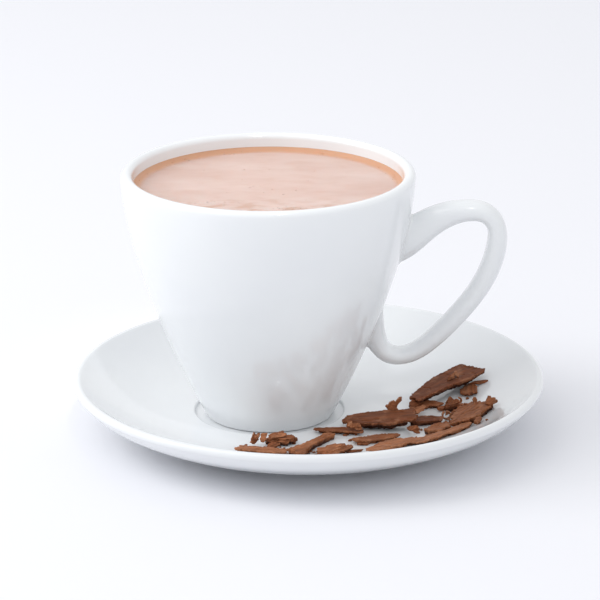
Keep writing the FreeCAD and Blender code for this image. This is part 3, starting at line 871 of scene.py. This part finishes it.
# Its CAD node, its name, its number of leaves, how ragged its rims and how lumpy its faces are
# in millimetres, its tone from 0 for a dense reddish face to 1 for a dry paler one, and how far
# its rim runs out past the plain outline, all round and further to the front.
SHARDS = [
    ("flake_01", "slat", 2, 1.2, 0.15, 0.00, 0.3, 0.3),
    ("flake_02", "broad_flake", 2, 1.5, 0.10, 0.22, 0.3, 1.1),
    ("flake_03", "low_chip", 2, 1.5, 0.25, 0.45, 0.4, 0.4),
    ("flake_04", "far_chip", 2, 1.5, 0.25, 0.35, 0.1, 0.2),
    ("flake_05", "long_flake", 2, 1.2, 0.06, 0.10, 0.3, 1.2),
    ("flake_06", "leaning_flake", 2, 2.4, 0.20, 0.55, 0.6, 1.0),
    ("flake_07", "knot", 3, 2.0, 0.30, 0.20, 0.3, 0.3),
    ("flake_08", "lump", 2, 1.8, 0.45, 0.60, 0.7, 0.4),
    ("flake_09", "splinter", 2, 1.3, 0.20, 0.35, 0.3, 0.7),
    ("flake_10", "spindle", 2, 1.5, 0.30, 0.50, 0.7, 0.6),
    ("flake_11", "front_flake", 2, 2.2, 0.20, 0.95, 0.9, 0.5),
    ("flake_12", "front_splinter", 2, 2.0, 0.20, 0.95, 1.0, 0.3),
    ("flake_13", "strip", 2, 1.3, 0.20, 0.90, 1.1, 0.2),
    ("flake_14", "stick", 1, 1.0, 0.15, 0.65, 0.3, 0.2),
    ("flake_15", "front_lump", 3, 1.8, 0.20, 0.65, 0.7, 0.3),
    ("flake_16", "left_flake", 2, 1.5, 0.30, 0.90, 0.4, 0.2),
    ("flake_17", "layered_chunk", 3, 2.0, 0.20, 0.40, 0.4, 0.6),
]
for seed, row in enumerate(SHARDS, start=1):
    shard(*row, seed)

# ==== chips and curls ======================================================================
# Smaller bits that broke off when the chocolate was chopped: chips that stand on an edge or lean
# on a shard, a few thin slivers, three shavings that curled up, and crumbs between them.
CHIP_DETAIL = 0.2 * MM
SLIVER_DETAIL = 0.18 * MM
CURL_DETAIL = 0.12 * MM
CURL_THICKNESS = 0.45 * MM
CHIP_SHADE = 0.08            # loose chips lie open to the light


def on_saucer(x, y, high):
    """The place of a point given in millimetres, its height measured from the saucer's face."""
    return Vector((x * MM, y * MM, saucer_surface(x * MM, y * MM) + high * MM))


def add_chip(bm, x, y, high, heading, pitch, roll, length, width, thickness, seed):
    """One chip about its middle. It is turned to its heading, its far end is raised by pitch,
    and its left side by roll; sizes in millimetres and degrees."""
    turned = (Matrix.Translation(on_saucer(x, y, high))
              @ Matrix.Rotation(math.radians(heading), 4, "Z")
              @ Matrix.Rotation(math.radians(-pitch), 4, "Y")
              @ Matrix.Rotation(math.radians(roll), 4, "X"))
    rng = random.Random(seed)
    shape = [(-0.5, -0.30), (-0.2, -0.5), (0.25, -0.42), (0.5, -0.12),
             (0.42, 0.30), (0.1, 0.5), (-0.3, 0.42), (-0.52, 0.12)]
    corners = [turned @ Vector(((u + rng.uniform(-0.1, 0.1)) * length * MM,
                                (v + rng.uniform(-0.14, 0.14)) * width * MM,
                                thickness * MM / 2)) for u, v in shape]
    rotation = turned.to_3x3()
    add_leaf(bm, corners, rotation @ Vector((0, 0, 1)), rotation @ Vector((1, 0, 0)),
             thickness * MM, min(width, length) * 0.28 * MM, seed, 0.15 * thickness * MM)


def chips(name, rows, tone, detail, seed):
    """A group of chips as one piece."""
    bm = bmesh.new()
    for number, row in enumerate(rows):
        add_chip(bm, *row, seed * 50 + number)
    bmesh.ops.recalc_face_normals(bm, faces=bm.faces)
    bm = joined_evenly(bm, detail)
    middle = sum((vert.co for vert in bm.verts), Vector()) / len(bm.verts)
    weather(bm, middle, Vector((0.8, 0.6, 0)), Vector((-0.6, 0.8, 0)), Vector((0, 0, 1)),
            lumpy=0.15, seed=seed, shade=CHIP_SHADE)
    crisp(bm)
    finish_piece(name, bm, milk_chocolate("chocolate_" + name, tone))


# Each row: x, y, height of its middle over the saucer, heading, pitch, roll, length, width and
# thickness.
chips("propped_chips", [
    (47.6, 12.4, 5.6, 50, 18, 35, 4.6, 1.3, 0.7),
    (48.6, 12.9, 5.9, 105, 24, 35, 3.6, 1.1, 0.7),
    (46.8, 11.0, 5.3, 15, 6, 35, 2.6, 1.1, 0.6),
    (27.2, -10.9, 4.7, 8, 0, 74, 4.4, 4.6, 1.3),
    (28.8, -10.8, 6.2, 15, 55, 60, 3.8, 1.5, 0.9),
    (25.6, -10.8, 4.4, 160, 20, 60, 2.6, 1.8, 0.9),
    (14.4, -24.6, 3.0, -25, 8, 45, 4.6, 2.2, 0.8),
    (13.0, -24.2, 3.4, 30, 5, 55, 2.6, 1.6, 0.7),
    (15.6, -25.2, 2.4, -35, -10, 40, 3.6, 1.8, 0.8),
    (32.9, -25.4, 2.2, -35, 10, 35, 4.2, 1.8, 0.9),
    (34.4, -25.9, 1.2, -50, 5, 20, 3.4, 1.6, 0.9),
], 0.45, CHIP_DETAIL, 31)
chips("upright_chips", [
    (-17.3, -34.9, 2.6, 10, 5, 75, 2.9, 4.2, 0.9),
    (-16.2, -34.9, 3.4, 60, 40, 60, 2.4, 1.3, 0.7),
    (-19.9, -36.6, 0.7, 50, 0, 10, 1.5, 1.1, 0.9),
    (-5.4, -32.3, 1.1, -15, 5, 20, 3.4, 1.6, 0.9),
    (-11.2, -37.1, 1.0, 12, 5, 30, 4.6, 2.0, 1.0),
    (34.6, -1.4, 1.7, 45, 3, 22, 5.0, 3.6, 1.5),
], 0.25, CHIP_DETAIL, 32)
chips("pale_chips", [
    (-14.2, -35.2, 2.9, -6, 4, 76, 2.2, 3.8, 0.8),
    (-9.6, -33.8, 2.9, 10, 6, 40, 4.4, 1.2, 0.6),
    (-8.4, -33.0, 3.4, -14, 0, 40, 3.2, 0.9, 0.5),
    (35.3, -7.7, 1.9, 20, 12, 25, 4.8, 2.4, 0.6),
    (36.9, -5.8, 2.1, 55, 25, 30, 3.2, 1.5, 0.6),
    (33.9, -8.8, 1.4, -10, 5, 20, 3.0, 1.6, 0.6),
    (-7.1, -41.3, 1.0, -30, 10, 20, 2.6, 1.4, 0.7),
    (-3.1, -40.4, 1.3, -50, 12, 20, 3.2, 1.6, 0.8),
    (1.6, -36.4, 1.4, 40, 0, 10, 3.0, 1.4, 0.8),
    (46.2, -22.1, 1.4, 50, 15, 30, 2.6, 1.3, 0.7),
    (39.8, -21.3, 1.2, -20, 8, 25, 2.6, 1.2, 0.7),
    (8.1, -41.8, 2.3, 14, 4, 20, 5.2, 1.2, 0.5),
], 1.0, CHIP_DETAIL, 33)
chips("slivers", [
    (56.4, 12.6, 0.9, 8, 6, 10, 6.0, 1.3, 0.9),
    (14.4, -41.6, 0.6, 12, 0, 5, 5.4, 1.0, 0.8),
    (52.0, 6.6, 0.6, -10, 0, 0, 3.4, 1.2, 0.8),
    (41.6, -18.2, 0.6, 20, 0, 0, 4.4, 1.2, 0.8),
    (30.4, -33.0, 0.7, 24, 3, 8, 5.4, 1.5, 1.0),
    (17.0, -34.6, 0.5, 6, 0, 0, 3.6, 1.0, 0.8),
], 0.3, SLIVER_DETAIL, 34)
chips("spikes", [
    (53.6, -9.8, 3.2, 96, 44, 10, 3.4, 1.5, 0.9),
    (57.6, -11.8, 2.8, 74, 40, 20, 4.0, 1.8, 1.0),
    (51.6, -9.4, 2.4, 160, 12, 5, 3.2, 1.4, 0.8),
    (58.4, -13.6, 2.8, 40, 20, 12, 3.6, 2.6, 1.3),
    (53.8, -25.6, 1.1, 62, 4, 0, 4.2, 2.0, 1.1),
    (47.0, -22.4, 1.6, 35, 10, 25, 4.0, 2.0, 1.1),
    (43.4, -20.4, 1.0, -12, 5, 10, 3.2, 1.8, 1.1),
], 0.45, CHIP_DETAIL, 35)
chips("knot_bits", [
    (45.8, -1.8, 2.6, 60, 35, 30, 3.0, 2.0, 1.0),
    (47.6, -5.2, 3.0, -40, 20, 45, 3.4, 1.8, 0.9),
    (49.0, -7.4, 1.6, -60, 12, 20, 3.6, 2.0, 1.0),
    (43.2, -4.0, 1.0, 10, 0, 15, 3.0, 1.8, 1.2),
    (46.6, -10.4, 0.9, 75, 0, 10, 3.4, 1.6, 1.0),
], 0.35, CHIP_DETAIL, 36)


def curled_shavings():
    """Thin strips that rolled up as the knife lifted them."""
    bm = bmesh.new()
    curls = [(44.0, -13.2, 1.7, 8, 1.4, 1.4, 0.94), (45.6, -17.6, 1.2, -10, 1.0, 1.2, 0.85),
             (48.6, -1.2, 2.0, 20, 1.0, 1.2, 0.7)]
    for x, y, high, heading, radius, width, turns in curls:
        ends = [bm.verts.new((0, side * width * MM / 2, radius * MM)) for side in (-1, 1)]
        edge = bm.edges.new(ends)
        before = set(bm.verts) - set(ends)
        bmesh.ops.spin(bm, geom=ends + [edge], cent=(0.25 * radius * MM, 0, 0), axis=(0, 1, 0),
                       angle=2 * math.pi * turns, steps=26, dvec=(0, 0.012 * MM, 0.004 * MM))
        made = [vert for vert in bm.verts if vert not in before]
        place = Matrix.Translation(on_saucer(x, y, high)) @ Matrix.Rotation(
            math.radians(heading), 4, "Z")
        bmesh.ops.transform(bm, matrix=place, verts=made)
    bmesh.ops.recalc_face_normals(bm, faces=bm.faces)
    bmesh.ops.solidify(bm, geom=bm.faces[:], thickness=CURL_THICKNESS)
    bmesh.ops.recalc_face_normals(bm, faces=bm.faces)
    bm = joined_evenly(bm, CURL_DETAIL)
    middle = sum((vert.co for vert in bm.verts), Vector()) / len(bm.verts)
    weather(bm, middle, Vector((1, 0, 0)), Vector((0, 1, 0)), Vector((0, 0, 1)),
            lumpy=0.05, seed=40, shade=0)
    finish_piece("curled_shavings", bm, milk_chocolate("chocolate_curls", 0.8))


def crumbs():
    """Grains no larger than a pinhead, thickest where the shards lie close together."""
    rng = random.Random(5)
    bm = bmesh.new()
    # Each row: x, y, spread along X and along Y in millimetres, and its crumbs.
    nests = [(-14, -38, 7, 3, 16), (3, -41, 8, 2.5, 18), (16, -27, 8, 4, 12),
             (31, -31, 8, 4, 16), (42, -22, 6, 4, 20), (46, -9, 4, 6, 20), (44, 1, 6, 3, 10),
             (53, -19, 3, 6, 8)]
    for x, y, wide, deep, count in nests:
        for _ in range(count):
            size = rng.uniform(0.22, 0.62) * (1.4 if rng.random() < 0.15 else 1)
            place = on_saucer(rng.gauss(x, wide / 2), rng.gauss(y, deep / 2), size * 0.55)
            made = bmesh.ops.create_icosphere(bm, subdivisions=1, radius=size * MM)["verts"]
            for vert in made:
                vert.co *= rng.uniform(0.6, 1.25)
            spin = Matrix.Rotation(rng.uniform(0, 6.3), 4, "Z") @ Matrix.Rotation(
                rng.uniform(-0.6, 0.6), 4, "X")
            stretch = Matrix.Diagonal((rng.uniform(1.0, 1.8), 1, rng.uniform(0.6, 1.0), 1))
            bmesh.ops.transform(bm, matrix=Matrix.Translation(place) @ spin @ stretch, verts=made)
    bmesh.ops.recalc_face_normals(bm, faces=bm.faces)
    grain_layer = bm.verts.layers.float_vector.new("grain")
    break_and_painted_light_layer = bm.verts.layers.float.new("break_and_painted_light")
    for vert in bm.verts:
        vert[grain_layer] = vert.co
        # A random tone: it runs into both the dark painted-shade colour and the pale one.
        vert[break_and_painted_light_layer] = 0.5 + 0.4 * noise.noise(vert.co / (0.5 * MM))
    crisp(bm, 20)
    finish_piece("crumbs", bm, milk_chocolate("chocolate_crumbs", 0.5))


curled_shavings()
crumbs()

# ==== floor ================================================================================
# A smooth pale table top, much larger than the saucer. It is no part of the object and only
# takes its shadow.
FLOOR_HALF = 4.0
FLOOR_COLOUR = (0.865, 0.870, 0.905)


def pale_floor():
    material, _, shader = new_material("pale_table", Roughness=0.7, IOR=1.4)
    shader.inputs["Base Color"].default_value = (*FLOOR_COLOUR, 1)
    shader.inputs["Specular IOR Level"].default_value = 0.2
    bm = bmesh.new()
    bmesh.ops.create_grid(bm, x_segments=1, y_segments=1, size=FLOOR_HALF)
    mesh = bpy.data.meshes.new("table_top")
    bm.to_mesh(mesh)
    bm.free()
    mesh.materials.append(material)
    floor = bpy.data.objects.new("table_top", mesh)
    bpy.context.scene.collection.objects.link(floor)


pale_floor()

# ==== light ================================================================================
# A bright white room, two large soft lights on the left, the second higher and further to the
# front, and a narrow lamp high in front that fills the inside of the cup.
ROOM_COLOUR = (0.975, 0.982, 1.0)
ROOM_STRENGTH = 0.87
SOFT_LIGHT_AIM = Vector((0, 0, 0.02))
SOFT_LIGHT_DISTANCE = 1.3
SOFT_LIGHT_SIZE = 0.8
CUP_LAMP_AIM = CUP_AXIS + Vector((0, 0, CUP_TOP))
CUP_LAMP_DISTANCE = 0.9
CUP_LAMP_CONE = math.radians(7.5)
CUP_LAMP_BLEND = 0.7
CUP_LAMP_SIZE = 0.04


def room():
    world = bpy.data.worlds.new("room")
    world.use_nodes = True
    background = world.node_tree.nodes["Background"]
    background.inputs["Color"].default_value = (*ROOM_COLOUR, 1)
    background.inputs["Strength"].default_value = ROOM_STRENGTH
    bpy.context.scene.world = world


def lamp(name, kind, azimuth, elevation, distance, aim, power):
    """A lamp that looks at a point from a direction in degrees, a distance away."""
    data = bpy.data.lights.new(name, kind)
    data.energy = power
    light = bpy.data.objects.new(name, data)
    level = distance * math.cos(math.radians(elevation))
    place = Vector((level * math.cos(math.radians(azimuth)),
                    level * math.sin(math.radians(azimuth)),
                    distance * math.sin(math.radians(elevation))))
    light.location = aim + place
    light.rotation_euler = (-place).to_track_quat("-Z", "Y").to_euler()
    bpy.context.scene.collection.objects.link(light)
    return data


room()
for name, azimuth, elevation, power in [
        ("left_light", 180, 35, 5.9), ("front_left_light", 210, 55, 2.1)]:
    soft_light = lamp(name, "AREA", azimuth, elevation, SOFT_LIGHT_DISTANCE, SOFT_LIGHT_AIM,
                      power)
    soft_light.size = SOFT_LIGHT_SIZE
cup_lamp = lamp("cup_lamp", "SPOT", 285, 64, CUP_LAMP_DISTANCE, CUP_LAMP_AIM, 8.5)
cup_lamp.spot_size = CUP_LAMP_CONE
cup_lamp.spot_blend = CUP_LAMP_BLEND
cup_lamp.shadow_soft_size = CUP_LAMP_SIZE
bpy.context.scene.view_settings.view_transform = "Standard"

# ==== camera ===============================================================================
# A long lens about a metre from the cup and a little above it, tipped a fifth of a degree out
# of level.
CAMERA_AIM = Vector((-2.7 * MM, 0, 42.8 * MM))
CAMERA_DISTANCE = 1094.7 * MM
CAMERA_ELEVATION = math.radians(18.31)
CAMERA_ROLL = math.radians(-0.19)
CAMERA_LENS = 204.0


def camera():
    data = bpy.data.cameras.new("camera")
    data.lens = CAMERA_LENS
    data.sensor_width = 36.0
    data.clip_start = 0.05
    data.clip_end = 50
    back = Vector((0, -math.cos(CAMERA_ELEVATION), math.sin(CAMERA_ELEVATION)))
    view = bpy.data.objects.new("camera", data)
    turned = Matrix.Rotation(CAMERA_ROLL, 4, "Z")
    upright = back.to_track_quat("Z", "Y").to_matrix().to_4x4()
    view.matrix_world = Matrix.Translation(CAMERA_AIM + back * CAMERA_DISTANCE) @ upright @ turned
    bpy.context.scene.collection.objects.link(view)
    bpy.context.scene.camera = view


camera()
